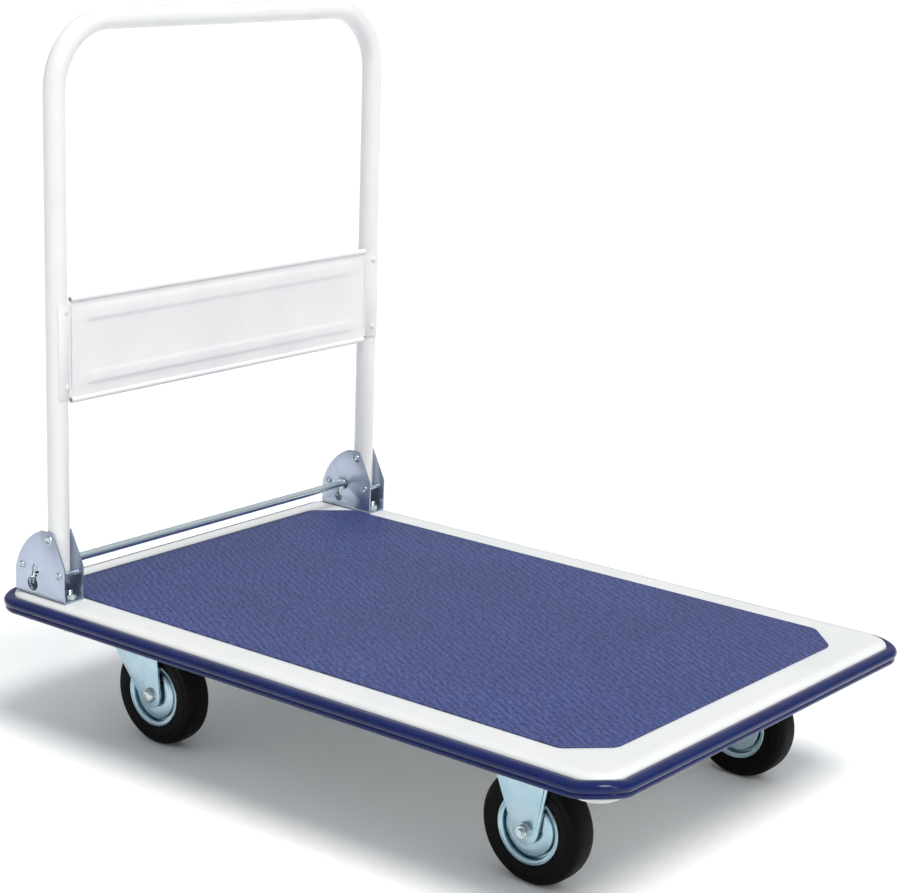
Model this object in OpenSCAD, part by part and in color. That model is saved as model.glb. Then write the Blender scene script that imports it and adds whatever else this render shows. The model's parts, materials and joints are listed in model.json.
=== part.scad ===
// Folding platform cart. Millimetres. X runs from the handle end to the front,
// Y to the left side, Z up. The origin is on the floor under the deck's centre.

/* [Deck] */
// Length over the bumper
deck_l = 900; // [700:5:1200]
// Width over the bumper
deck_w = 614; // [500:2:800]
// Plan radius of the bumper's corners
corner_r = 47; // [42:1:90]
// Thickness of the pressed tray
sheet_t = 1.5; // [1:0.1:2.5]
// Depth of the tray from its top to its lower lip
tray_h = 27; // [27:1:40]
// Radius of the shoulder between the top and the side wall
shoulder_r = 6; // [4:0.5:10]
// Width of the lip turned inward at the bottom of the side wall
lip_w = 8; // [4:0.5:8]

/* [Bumper] */
// How far the bumper stands out from the tray's wall
bumper_w = 13; // [11:0.5:18]
// Height of the bumper
bumper_h = 18; // [14:0.5:18]
// Distance from the tray's top down to the bumper
bumper_drop = 5.5; // [5:0.5:9]
// Width of the tray flange that the bumper grips
flange_w = 6; // [3:0.5:7]

/* [Mat] */
// Thickness of the mat
mat_t = 2; // [1:0.5:3]
// Distance from the deck's front to the mat
mat_front = 55; // [40:1:90]
// Distance from the deck's rear to the mat
mat_rear = 48; // [35:1:90]
// Gap between the mat and the hinge brackets
mat_gap = 3.5; // [2:0.5:20]
// Length cut off each corner of the mat
mat_cut = 42; // [10:1:80]

/* [Handle] */
// Outside diameter of the handle tube
tube_d = 25.4; // [22:0.2:32]
// Wall of the handle tube
tube_t = 1.5; // [1:0.1:3]
// Height of the crossbar's centre above the pivot
handle_rise = 597; // [450:1:750]
// Centre line radius of the two top bends
bend_r = 80; // [40:1:120]
// Height of the panel's lower edge above the pivot
panel_low = 161; // [120:1:250]
// Height of the panel
panel_h = 125; // [90:1:160]
// Thickness of the panel's sheet
panel_t = 1.2; // [0.8:0.1:2]
// Diameter of the panel's rolled edges
roll_d = 7; // [5:0.5:10]
// Distance of the panel's sheet in front of the tube's centre
panel_off = 7; // [4:0.5:8]

/* [Hinge brackets] */
// Thickness of the cheeks
cheek_t = 2; // [1.5:0.1:3]
// Thickness of the base plate
base_t = 2.5; // [2:0.1:4]
// Gap between the tube and each cheek
cheek_gap = 0.4; // [0.3:0.05:1]
// Length of the bracket
bracket_l = 85; // [80:1:110]
// Height of the bracket
bracket_h = 82.5; // [81.5:0.5:95]
// Distance from the deck's side to the bracket
bracket_side = 20; // [18:0.5:40]
// Distance from the deck's rear to the bracket
bracket_rear = 29; // [27:0.5:60]
// Diameter of the pivot pin
pivot_d = 8; // [6:0.5:9]
// Diameter of the other two cheek pins
pin_d = 6; // [4:0.5:7]
// Gap between the tube's rounded lower end and the release rod
rod_gap = 1.2; // [0.5:0.1:8]

/* [Release bar] */
// Diameter of the release rod
rod_d = 8; // [6:0.5:8.4]
// Diameter of the sleeve on the rod
sleeve_d = 10; // [9.5:0.5:14]
// Room left under the rod when it is pressed down
rod_stop = 7.9; // [6:0.1:17]
// Lean of the slots from the vertical, in degrees
slot_lean = 17; // [0:1:20]
// Gap round the rod in its slots
slot_gap = 0.5; // [0.3:0.05:1]
// How much wider the slots are in the outer cheeks
slot_open = 3; // [0:0.5:3]
// Distance from each inner cheek to the end of the sleeve
sleeve_gap = 32; // [8:1:60]

/* [Casters] */
// Diameter of the wheels
wheel_d = 127; // [110:1:160]
// Width of the tyres
tyre_w = 35; // [26:0.5:38]
// Diameter over the bright outer ring of the rim
rim_d = 78.8; // [70:0.2:90]
// Height from the top of the wheels to the top of the caster plates
crown_gap = 33; // [30:0.5:48]
// Thickness of the fork's sheet
fork_t = 2.5; // [2:0.1:4]
// Gap between the tyre and each fork leg
fork_gap = 3; // [2:0.25:6]
// Diameter of the axle bolts
axle_d = 8; // [6:0.5:10]
// Distance from the king pin to the axle of the swivel casters
swivel_off = 34; // [20:1:45]
// Length of the caster plates
plate_l = 105; // [100:1:120]
// Width of the caster plates
plate_w = 85; // [80:1:100]
// Thickness of the caster plates
plate_t = 3; // [2:0.5:4]
// Distance from the deck's rear to the king pins
rear_in = 145; // [120:1:200]
// Distance from the deck's front to the front axles
front_in = 156; // [120:1:200]
// Distance from the deck's side to the rear wheels' centre
rear_side = 117; // [112:1:140]
// Distance from the deck's side to the front wheels' centre
front_side = 105; // [100:1:140]

/* [Hidden] */
$fn = 64;

// Small gap between pieces that are held together
snug = 0.1;
// Radial clearance of a running fit
running = 0.05;

// Heights of the deck
caster_h = wheel_d + crown_gap;
rail_h = 16.5;
rail_t = 2;
under = caster_h + rail_h;
top = under + sheet_t;

// Plan of the deck, measured outward from the corners' centres
wall_x = corner_r - bumper_w;
flat_x = wall_x - shoulder_r;
plate_x = flat_x - 3;
in_l = deck_l - 2 * corner_r;
in_w = deck_w - 2 * corner_r;

// Bumper
bump_top = top - bumper_drop;
bump_low = bump_top - bumper_h;
bead_hi = bumper_h * 5 / 16;
bead_lo = bumper_h * 4.3 / 16;
flange_z = top - bumper_drop - 7;

// Hinge brackets
bracket_w = tube_d + 2 * cheek_gap + 2 * cheek_t;
hinge_y = deck_w / 2 - bracket_side - bracket_w / 2;
bracket_x = -deck_l / 2 + bracket_rear;
cheek_in = bracket_w / 2 - cheek_t;
pivot_x = bracket_x + 59.5;
pivot_z = top + bracket_h - 9.5;
stop_x = pivot_x + tube_d / 2 + 0.8 + pin_d / 2;
stop_z = top + bracket_h * 0.4;
rear_pin_x = bracket_x + 11.5;
rear_pin_z = top + bracket_h * 0.412;
rod_x = pivot_x - tube_d / 2 - 11.3;
rod_z = top + bracket_h * 0.406;
rod_travel = (rod_z - rod_d / 2 - top - base_t - rod_stop) / cos(slot_lean);
tube_end_r = norm([rod_x - pivot_x, rod_z - pivot_z]) - rod_d / 2 - rod_gap;
bolt_d = 8;
bolt_front_x = bracket_x + 77;
bolt_rear_x = bracket_x + 13;

// Bracket channels under the tray
channel_h = 28.5;
channel_w = 24;
channel_l = bracket_l + 15;
channel_low = under - channel_h;

// Handle
bar_z = pivot_z + handle_rise;
tube_r = tube_d / 2;
panel_z = pivot_z + panel_low;
panel_y = hinge_y - sqrt(tube_r * tube_r - panel_off * panel_off);
rivet_turn = 14;
rivet_d = 4;

// Casters
wheel_r = wheel_d / 2;
leg_in = tyre_w / 2 + fork_gap;
leg_out = leg_in + fork_t;
king_x = -deck_l / 2 + rear_in;
front_x = deck_l / 2 - front_in;
rear_y = deck_w / 2 - rear_side;
front_y = deck_w / 2 - front_side;
plate_low = caster_h - plate_t;
crown_top = caster_h - 10;
crown_r = 39;
tip_r = 16;
front_plate_x = front_x - 8;
spacer_r = axle_d / 2 + 2;
bearing_r = spacer_r + 3;
hub_r = bearing_r + 3;
rim_r = rim_d / 2;
lip_r = 2.4;
band_r = rim_r - lip_r - 0.5;
band_t = 2.4;
hole_l = 80;
hole_w = 60;
rail_y = (rear_y + front_y) / 2;
rail_w = plate_w + abs(front_y - rear_y) + 3;
rail_l = deck_l - 90;

// ---- Shapes ----

// Rectangle with round corners of radius r, centred
module round_rect(l, w, r) {
  square([l, w - 2 * r], center = true);
  square([l - 2 * r, w], center = true);
  for (x = [-1, 1], y = [-1, 1])
    translate([x * (l / 2 - r), y * (w / 2 - r)])
      circle(r = r);
}

// Carries a profile round the deck: x outward from the corners' centres, y up
module round_deck() {
  for (a = [0, 180])
    rotate([0, 0, a]) {
      translate([in_l / 2, in_w / 2, 0])
        rotate([90, 0, 0])
          linear_extrude(height = in_w)
            children();
      translate([-in_l / 2, in_w / 2, 0])
        rotate([90, 0, 90])
          linear_extrude(height = in_l)
            children();
      translate([in_l / 2, in_w / 2, 0])
        rotate_extrude(angle = 90)
          children();
      translate([-in_l / 2, in_w / 2, 0])
        rotate([0, 0, 90])
          rotate_extrude(angle = 90)
            children();
    }
}

// Makes a piece and its mirror image on the other side of the cart
module both_sides() {
  children();
  mirror([0, 1, 0])
    children();
}

// Bar along Y between two distances from the middle plane
module bar_y(x, z, y0, y1, r) {
  translate([x, y0, z])
    rotate([-90, 0, 0])
      cylinder(r = r, h = y1 - y0);
}

// Plate in the X-Z plane between two distances from the middle plane
module plate_y(y0, y1) {
  translate([0, y1, 0])
    rotate([90, 0, 0])
      linear_extrude(height = y1 - y0)
        children();
}

// Six-sided head or nut along Y
module hex_y(x, z, y0, y1, across) {
  translate([x, y0, z])
    rotate([-90, 0, 0])
      rotate([0, 0, 30])
        cylinder(d = across / cos(30), h = y1 - y0, $fn = 6);
}

// Six-sided head or nut along Z
module hex_z(x, y, z0, z1, across) {
  translate([x, y, z0])
    cylinder(d = across / cos(30), h = z1 - z0, $fn = 6);
}

// ---- Deck ----

// Section through the tray's edge
module tray_edge() {
  translate([plate_x - 3, top - sheet_t])
    square([flat_x - plate_x + 3, sheet_t]);
  intersection() {
    translate([flat_x, top - shoulder_r])
      difference() {
        circle(r = shoulder_r);
        circle(r = shoulder_r - sheet_t);
      }
    translate([flat_x, top - shoulder_r])
      square([shoulder_r, shoulder_r]);
  }
  translate([wall_x - sheet_t, top - tray_h])
    square([sheet_t, tray_h - shoulder_r]);
  translate([wall_x - sheet_t - lip_w, top - tray_h])
    square([sheet_t + lip_w, sheet_t]);
  translate([wall_x - sheet_t, flange_z])
    square([sheet_t + flange_w, sheet_t]);
}

module deck_tray() {
  color([0.93, 0.93, 0.94])
    difference() {
      union() {
        round_deck()
          tray_edge();
        translate([0, 0, top - sheet_t])
          linear_extrude(height = sheet_t)
            round_rect(in_l + 2 * plate_x, in_w + 2 * plate_x, plate_x);
      }
      for (s = [-1, 1], x = [bolt_front_x, bolt_rear_x])
        translate([x, s * hinge_y, under - 1])
          cylinder(d = bolt_d + 0.8, h = sheet_t + 2);
    }
}

module deck_mat() {
  x0 = -deck_l / 2 + mat_rear;
  x1 = deck_l / 2 - mat_front;
  y1 = hinge_y - bracket_w / 2 - mat_gap;
  c = mat_cut;
  color([0.22, 0.24, 0.5])
    translate([0, 0, top])
      linear_extrude(height = mat_t)
        polygon([
          [x0 + c, -y1], [x1 - c, -y1], [x1, -y1 + c], [x1, y1 - c],
          [x1 - c, y1], [x0 + c, y1], [x0, y1 - c], [x0, -y1 + c]]);
}

// Section through the bumper: two beads on a flat back with a slot for the flange
module bumper_section() {
  difference() {
    union() {
      translate([corner_r - bead_hi, bump_top - bead_hi])
        circle(r = bead_hi);
      translate([corner_r - bead_lo - 2.2, bump_low + bead_lo])
        circle(r = bead_lo);
      translate([wall_x + snug, bump_low + bead_lo])
        square([corner_r - bead_hi - wall_x - snug, bumper_h - bead_lo]);
      translate([wall_x + snug, bump_low])
        square([corner_r - bead_lo - 2.2 - wall_x - snug, bumper_h]);
    }
    translate([wall_x - 1, flange_z - snug])
      square([flange_w + 1.3, sheet_t + 2 * snug]);
  }
}

module bumper() {
  color([0.08, 0.12, 0.42])
    round_deck()
      bumper_section();
}

// Hat rail under the tray that carries two casters
module rail(y) {
  difference() {
    translate([-rail_l / 2, y - rail_w / 2, caster_h])
      cube([rail_l, rail_w, rail_h]);
    translate([-rail_l / 2 - 1, y - rail_w / 2 + rail_t, caster_h + rail_t])
      cube([rail_l + 2, rail_w - 2 * rail_t, rail_h]);
    caster_holes(king_x, sign(y) * rear_y, bolt_d + 0.6);
    caster_holes(front_plate_x, sign(y) * front_y, bolt_d + 0.6);
  }
}

module rail_left() {
  color([0.9, 0.9, 0.91])
    rail(rail_y);
}

module rail_right() {
  color([0.9, 0.9, 0.91])
    rail(-rail_y);
}

// Channel under the tray that the bracket bolts pull against, inside the tray's lip
module channel(y) {
  x = bracket_x + bracket_l / 2 + 3;
  inside = wall_x - sheet_t - lip_w - 0.5;
  difference() {
    intersection() {
      translate([x - channel_l / 2, y - channel_w / 2, channel_low])
        cube([channel_l, channel_w, channel_h]);
      translate([0, 0, channel_low - 1])
        linear_extrude(height = channel_h + 2)
          round_rect(in_l + 2 * inside, in_w + 2 * inside, inside);
    }
    translate([x - channel_l / 2 - 1, y - channel_w / 2 + rail_t, channel_low + base_t])
      cube([channel_l + 2, channel_w - 2 * rail_t, channel_h]);
    for (b = [bolt_front_x, bolt_rear_x])
      translate([b, y, channel_low - 1])
        cylinder(d = bolt_d + 0.6, h = base_t + 2);
  }
}

module channel_left() {
  color([0.9, 0.9, 0.91])
    channel(hinge_y);
}

module channel_right() {
  color([0.9, 0.9, 0.91])
    channel(-hinge_y);
}

// ---- Hinge brackets ----

// Outline of a cheek, with its corner at the bracket's rear on the tray
module cheek_outline() {
  rear_h = bracket_h * 0.34;
  front_h = bracket_h * 0.51;
  arc_end = [42, bracket_h - 1.5];
  r = 2 * bracket_h - 90;
  chord = arc_end - [0, rear_h];
  len = norm(chord);
  reach = sqrt(r * r - len * len / 4);
  mid = [chord[0] / 2, rear_h + chord[1] / 2];
  centre = mid + [chord[1], -chord[0]] / len * reach;
  intersection() {
    translate(centre)
      circle(r = r);
    polygon([
      [0, 0], [bracket_l, 0], [bracket_l, front_h],
      [pivot_x - bracket_x + 5, bracket_h], [0, bracket_h]]);
  }
}

// Slot for the release rod: a neck between two round ends, the lower one wider.
// It is opened out in the outer cheeks, where the rod doesn't reach.
module slot_outline(open) {
  w = rod_d + 2 * slot_gap + open;
  neck = w - 0.4 - open / 4;
  dx = -rod_travel * sin(slot_lean);
  dz = -rod_travel * cos(slot_lean);
  translate([rod_x, rod_z])
    circle(d = w);
  translate([rod_x, rod_z])
    rotate([0, 0, -slot_lean])
      translate([-neck / 2, -rod_travel])
        square([neck, rod_travel]);
  translate([rod_x + dx, rod_z + dz])
    circle(d = w + 2.5 + open);
}

module cheek(y0, y1, open) {
  plate_y(y0, y1)
    difference() {
      translate([bracket_x, top])
        cheek_outline();
      translate([pivot_x, pivot_z])
        circle(d = pivot_d + 2 * running);
      translate([stop_x, stop_z])
        circle(d = pin_d + 2 * running);
      translate([rear_pin_x, rear_pin_z])
        circle(d = pin_d + 2 * running);
      slot_outline(open);
    }
}

module bracket(y) {
  cheek(y - bracket_w / 2, y - cheek_in, y > 0 ? 0 : slot_open);
  cheek(y + cheek_in, y + bracket_w / 2, y > 0 ? slot_open : 0);
  difference() {
    translate([bracket_x, y - bracket_w / 2, top])
      cube([bracket_l, bracket_w, base_t]);
    for (x = [bolt_front_x, bolt_rear_x])
      translate([x, y, top - 1])
        cylinder(d = bolt_d + 0.6, h = base_t + 2);
  }
}

module bracket_left() {
  color([0.62, 0.67, 0.72])
    bracket(hinge_y);
}

module bracket_right() {
  color([0.62, 0.67, 0.72])
    bracket(-hinge_y);
}

// Bolt from below with its head under the channel
module bracket_bolts() {
  color([0.88, 0.88, 0.89])
    for (s = [-1, 1], x = [bolt_front_x, bolt_rear_x]) {
      translate([x, s * hinge_y, channel_low - 1])
        cylinder(d = bolt_d, h = top + base_t + 12 - channel_low);
      hex_z(x, s * hinge_y, channel_low - 6.5, channel_low, 13);
    }
}

module bracket_nuts() {
  color([0.72, 0.75, 0.78])
    for (s = [-1, 1], x = [bolt_front_x, bolt_rear_x])
      difference() {
        hex_z(x, s * hinge_y, top + base_t, top + base_t + 7, 13);
        translate([x, s * hinge_y, top])
          cylinder(d = bolt_d + 2 * running, h = 20);
      }
}

// Pin across a bracket with a flat head on each side
module cheek_pin(x, z, d, head, y) {
  bar_y(x, z, y - bracket_w / 2 - 1, y + bracket_w / 2 + 1, d / 2);
  bar_y(x, z, y + bracket_w / 2, y + bracket_w / 2 + 2, head / 2);
  bar_y(x, z, y - bracket_w / 2 - 2, y - bracket_w / 2, head / 2);
}

module pivot_pins() {
  color([0.75, 0.78, 0.8])
    for (s = [-1, 1])
      cheek_pin(pivot_x, pivot_z, pivot_d, pivot_d + 3, s * hinge_y);
}

module stop_pins() {
  color([0.75, 0.78, 0.8])
    for (s = [-1, 1])
      cheek_pin(stop_x, stop_z, pin_d, pin_d + 3, s * hinge_y);
}

module rear_pins() {
  color([0.75, 0.78, 0.8])
    for (s = [-1, 1])
      cheek_pin(rear_pin_x, rear_pin_z, pin_d, pin_d + 3, s * hinge_y);
}

// ---- Release bar ----

// The rod ends between the cheeks of each bracket
rod_end = hinge_y + cheek_in - 2;
cheek_face = hinge_y - bracket_w / 2;

module release_rod() {
  color([0.72, 0.76, 0.79])
    bar_y(rod_x, rod_z, -rod_end, rod_end, rod_d / 2);
}

module release_sleeve() {
  color([0.75, 0.79, 0.82])
    difference() {
      bar_y(rod_x, rod_z, -cheek_face + sleeve_gap, cheek_face - sleeve_gap, sleeve_d / 2);
      bar_y(rod_x, rod_z, -cheek_face, cheek_face, rod_d / 2 + running);
    }
}

module release_collars() {
  color([0.75, 0.79, 0.82])
    for (s = [-1, 1])
      difference() {
        bar_y(rod_x, rod_z, s * (cheek_face - 2.3) - 1.7, s * (cheek_face - 2.3) + 1.7,
          rod_d / 2 + 3);
        bar_y(rod_x, rod_z, s * cheek_face - 9, s * cheek_face + 9, rod_d / 2 + running);
      }
}

// Coil spring under one end of the rod
module spring(y) {
  turns = 6;
  wire_r = 0.6;
  coil_r = 3.9;
  z0 = top + base_t;
  z1 = rod_z - rod_d / 2 - 0.3;
  x = rod_x - rod_travel * sin(slot_lean) / 2;
  translate([x, y, z0 + wire_r])
    linear_extrude(height = z1 - z0 - 2 * wire_r, twist = -360 * turns,
      slices = turns * 14, $fn = 8)
      translate([coil_r, 0])
        square([2 * wire_r, 3.2 * wire_r], center = true);
  for (z = [z0, z1 - 2 * wire_r])
    translate([x, y, z])
      difference() {
        cylinder(r = coil_r + wire_r, h = 2 * wire_r);
        translate([0, 0, -1])
          cylinder(r = coil_r - wire_r, h = 4);
      }
}

module spring_left() {
  color([0.3, 0.32, 0.34])
    spring(hinge_y + 6);
}

module spring_right() {
  color([0.3, 0.32, 0.34])
    spring(-hinge_y - 6);
}

// ---- Handle ----

// Bent bar of diameter d from the pivots up over the crossbar
module handle_path(d) {
  for (s = [-1, 1])
    translate([pivot_x, s * hinge_y, pivot_z])
      cylinder(d = d, h = handle_rise - bend_r);
  bar_y(pivot_x, bar_z, -hinge_y + bend_r, hinge_y - bend_r, d / 2);
  both_sides()
    translate([pivot_x, hinge_y - bend_r, bar_z - bend_r])
      rotate([90, 0, 90])
        rotate_extrude(angle = 90)
          translate([bend_r, 0])
            circle(d = d);
}

module handle_tube() {
  color([0.94, 0.94, 0.95])
    difference() {
      union() {
        handle_path(tube_d);
        for (s = [-1, 1])
          intersection() {
            translate([pivot_x, s * hinge_y, pivot_z - tube_end_r - 5])
              cylinder(d = tube_d, h = tube_end_r + 5.5);
            bar_y(pivot_x, pivot_z, s * hinge_y - tube_d, s * hinge_y + tube_d, tube_end_r);
          }
      }
      handle_path(tube_d - 2 * tube_t);
      for (s = [-1, 1]) {
        translate([pivot_x, s * hinge_y, pivot_z - tube_end_r - 5])
          cylinder(d = tube_d - 2 * tube_t, h = tube_end_r + 5.5);
        bar_y(pivot_x, pivot_z, s * hinge_y - tube_d, s * hinge_y + tube_d,
          pivot_d / 2 + running);
      }
      rivet_places()
        rotate([0, 90, 0])
          cylinder(d = rivet_d + 2 * running, h = tube_d);
    }
}

// The four rivet lines, pointing out of the tubes' front
module rivet_places() {
  for (s = [-1, 1], z = [panel_low + 21, panel_low + panel_h - 15])
    translate([pivot_x, s * hinge_y, pivot_z + z])
      rotate([0, 0, -s * rivet_turn])
        children();
}

// Stiffening rib pressed along the panel
module panel_rib(z) {
  plate_y(-panel_y + 25, panel_y - 25)
    polygon([
      [pivot_x + panel_off, z - 10], [pivot_x + panel_off + panel_t + 1.3, z - 6],
      [pivot_x + panel_off + panel_t + 1.3, z + 6], [pivot_x + panel_off, z + 10]]);
}

module handle_panel() {
  wrap_r = tube_r + snug;
  turn = asin(panel_off / tube_r);
  color([0.95, 0.95, 0.96])
    difference() {
      union() {
        translate([pivot_x + panel_off, -panel_y, panel_z + roll_d / 2])
          cube([panel_t, 2 * panel_y, panel_h - roll_d]);
        for (z = [panel_z + roll_d / 2, panel_z + panel_h - roll_d / 2])
          difference() {
            bar_y(pivot_x + panel_off, z, -panel_y + 5, panel_y - 5, roll_d / 2);
            bar_y(pivot_x + panel_off, z, -panel_y, panel_y, roll_d / 2 - panel_t);
          }
        for (z = [panel_z + 26, panel_z + panel_h - 23])
          panel_rib(z);
        both_sides()
          translate([pivot_x, hinge_y, panel_z + roll_d])
            rotate([0, 0, turn - 92])
              rotate_extrude(angle = 126 - turn)
                translate([wrap_r, 0])
                  square([panel_t, panel_h - 2 * roll_d]);
      }
      rivet_places()
        rotate([0, 90, 0])
          cylinder(d = rivet_d + 2 * running, h = tube_d);
    }
}

module panel_rivets() {
  color([0.9, 0.9, 0.91])
    rivet_places()
      rotate([0, 90, 0]) {
        translate([0, 0, tube_r - tube_t - 2])
          cylinder(d = rivet_d, h = tube_t + panel_t + 3);
        translate([0, 0, tube_r + snug + panel_t + 0.25])
          cylinder(d = rivet_d + 3.5, h = 1.2);
      }
}

// ---- Casters ----

// The four bolt holes of a caster plate
module caster_holes(x, y, d) {
  for (i = [-1, 1], j = [-1, 1])
    translate([x + i * hole_l / 2, y + j * hole_w / 2, plate_low - 2])
      cylinder(d = d, h = 12);
}

module caster_bolts() {
  color([0.7, 0.74, 0.77])
    for (s = [-1, 1], c = [[king_x, rear_y], [front_plate_x, front_y]])
      for (i = [-1, 1], j = [-1, 1]) {
        x = c[0] + i * hole_l / 2;
        y = s * c[1] + j * hole_w / 2;
        translate([x, y, plate_low - 1])
          cylinder(d = bolt_d, h = plate_t + rail_t + 10);
        hex_z(x, y, plate_low - 5.3, plate_low, 13);
      }
}

module caster_nuts() {
  color([0.7, 0.74, 0.77])
    for (s = [-1, 1], c = [[king_x, rear_y], [front_plate_x, front_y]])
      for (i = [-1, 1], j = [-1, 1]) {
        x = c[0] + i * hole_l / 2;
        y = s * c[1] + j * hole_w / 2;
        difference() {
          hex_z(x, y, caster_h + rail_t, caster_h + rail_t + 6.5, 13);
          translate([x, y, caster_h])
            cylinder(d = bolt_d + 2 * running, h = 12);
        }
      }
}

module caster_plate(x, y) {
  difference() {
    translate([x, y, plate_low])
      linear_extrude(height = plate_t)
        round_rect(plate_l, plate_w, 6);
    caster_holes(x, y, bolt_d + 0.6);
  }
}

// Point where a line from p touches the circle round c, on its lower left
function touch(p, c, r) =
  let (v = c - p, d = norm(v), a = atan2(v[1], v[0]) - asin(r / d), t = sqrt(d * d - r * r))
  p + t * [cos(a), sin(a)];

// Side view of a fork leg: its rear edge slants in to the rounded tip
module leg_outline(ax, rear, front, high) {
  axle = [ax, wheel_r];
  knee = [rear + 5, high - 42];
  tip = touch(knee, axle, tip_r);
  polygon([
    [rear, high], knee, tip, axle, [ax + tip_r, wheel_r],
    [front - 3, high - 42], [front, high]]);
  translate(axle)
    circle(r = tip_r);
}

module fork_legs(x, y, ax, rear, front, high) {
  for (s = [-1, 1])
    translate([x, y, 0])
      plate_y(s > 0 ? leg_in : -leg_out, s > 0 ? leg_out : -leg_in)
        difference() {
          leg_outline(ax, rear, front, high);
          translate([ax, wheel_r])
            circle(d = axle_d + 2 * snug);
        }
}

// Swivel fork: a round crown with two legs
module swivel_fork(y) {
  fork_legs(king_x, y, swivel_off, -30, swivel_off + tip_r - 1, crown_top);
  difference() {
    translate([king_x, y, crown_top - fork_t])
      linear_extrude(height = fork_t) {
        circle(r = crown_r);
        translate([-30, -leg_out])
          square([swivel_off + tip_r + 29, 2 * leg_out]);
      }
    translate([king_x, y, crown_top - 10])
      cylinder(r = 6 + running, h = 20);
  }
}

// Rigid fork: two legs on its own mounting plate
module rigid_fork(y) {
  fork_legs(front_x, y, 0, -44, 29, plate_low + 1);
  caster_plate(front_plate_x, y);
}

module king_pin(y) {
  translate([king_x, y, crown_top - 6])
    cylinder(r = 6, h = caster_h - crown_top + 6);
  hex_z(king_x, y, crown_top - fork_t - 7, crown_top - fork_t - 0.3, 18);
}

module race(y) {
  difference() {
    translate([king_x, y, crown_top + 0.3])
      cylinder(r = 32, h = plate_low - crown_top - 0.3);
    translate([king_x, y, crown_top - 1])
      cylinder(r = 20, h = 20);
  }
}

// Axle bolt, with its head on the left when side is 1 and on the right when it is -1
module axle(x, y, side) {
  head = side > 0 ? y + leg_out : y - leg_out - 5.5;
  left = side > 0 ? 2 : 10;
  right = side > 0 ? 10 : 2;
  bar_y(x, wheel_r, y - leg_out - right, y + leg_out + left, axle_d / 2);
  hex_y(x, wheel_r, head, head + 5.5, axle_d + 5);
}

// Nut on the end of the axle bolt away from its head
module axle_nut(x, y, side) {
  low = side > 0 ? y - leg_out - 6.5 : y + leg_out;
  difference() {
    hex_y(x, wheel_r, low, low + 6.5, axle_d + 5);
    bar_y(x, wheel_r, low - 5, low + 12, axle_d / 2 + running);
  }
}

module spacer(x, y) {
  difference() {
    bar_y(x, wheel_r, y - leg_in + snug, y + leg_in - snug, spacer_r);
    bar_y(x, wheel_r, y - leg_out, y + leg_out, axle_d / 2 + snug);
  }
}

module bearing(x, y) {
  difference() {
    bar_y(x, wheel_r, y - leg_in + 0.7, y + leg_in - 0.7, bearing_r);
    bar_y(x, wheel_r, y - leg_out, y + leg_out, spacer_r + running);
  }
}

// Puts a profile of radius against width round an axle
module wheel_turn(x, y) {
  translate([x, y, wheel_r])
    rotate([90, 0, 0])
      rotate_extrude()
        children();
}

module rim(x, y) {
  lip_y = tyre_w / 2 - lip_r + 1.1;
  wheel_turn(x, y) {
    translate([bearing_r + running, -leg_in + 1.5])
      square([hub_r - bearing_r - running, 2 * leg_in - 3]);
    translate([hub_r - 1, -1.5])
      square([band_r - hub_r, 3]);
    translate([band_r - band_t, -lip_y])
      square([band_t, 2 * lip_y]);
    for (s = [-1, 1]) {
      translate([rim_r - lip_r, s * lip_y])
        circle(r = lip_r);
      translate([hub_r - 1, s * (lip_y - 3) - 1])
        square([band_r - band_t - 3 - hub_r, 2]);
    }
  }
}

module tyre(x, y) {
  round_r = 7;
  wheel_turn(x, y)
    difference() {
      union() {
        translate([band_r + snug, -tyre_w / 2])
          square([wheel_r - round_r - band_r - snug, tyre_w]);
        translate([band_r + snug, -tyre_w / 2 + round_r])
          square([wheel_r - band_r - snug, tyre_w - 2 * round_r]);
        for (s = [-1, 1])
          translate([wheel_r - round_r, s * (tyre_w / 2 - round_r)])
            circle(r = round_r);
      }
      for (s = [-1, 1])
        translate([band_r - 1, s * (tyre_w / 2 + 1) - 5.2])
          square([rim_r + 1.3 - band_r, 10.4]);
    }
}

// ---- The four casters ----

module rear_left_plate() {
  color([0.66, 0.71, 0.75])
    difference() {
      caster_plate(king_x, rear_y);
      translate([king_x, rear_y, plate_low - 1])
        cylinder(r = 6 + snug, h = plate_t + 2);
    }
}

module rear_left_race() {
  color([0.6, 0.64, 0.68])
    race(rear_y);
}

module rear_left_king_pin() {
  color([0.7, 0.74, 0.77])
    king_pin(rear_y);
}

module rear_left_fork() {
  color([0.66, 0.71, 0.75])
    swivel_fork(rear_y);
}

module rear_left_axle() {
  color([0.7, 0.74, 0.77])
    axle(king_x + swivel_off, rear_y, 1);
}

module rear_left_nut() {
  color([0.7, 0.74, 0.77])
    axle_nut(king_x + swivel_off, rear_y, 1);
}

module rear_left_spacer() {
  color([0.6, 0.64, 0.68])
    spacer(king_x + swivel_off, rear_y);
}

module rear_left_rim() {
  color([0.66, 0.71, 0.75])
    rim(king_x + swivel_off, rear_y);
}

module rear_left_tyre() {
  color([0.08, 0.08, 0.09])
    tyre(king_x + swivel_off, rear_y);
}

module rear_left_bearing() {
  color([0.5, 0.52, 0.55])
    bearing(king_x + swivel_off, rear_y);
}

module rear_right_plate() {
  color([0.66, 0.71, 0.75])
    difference() {
      caster_plate(king_x, -rear_y);
      translate([king_x, -rear_y, plate_low - 1])
        cylinder(r = 6 + snug, h = plate_t + 2);
    }
}

module rear_right_race() {
  color([0.6, 0.64, 0.68])
    race(-rear_y);
}

module rear_right_king_pin() {
  color([0.7, 0.74, 0.77])
    king_pin(-rear_y);
}

module rear_right_fork() {
  color([0.66, 0.71, 0.75])
    swivel_fork(-rear_y);
}

module rear_right_axle() {
  color([0.7, 0.74, 0.77])
    axle(king_x + swivel_off, -rear_y, -1);
}

module rear_right_nut() {
  color([0.7, 0.74, 0.77])
    axle_nut(king_x + swivel_off, -rear_y, -1);
}

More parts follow.
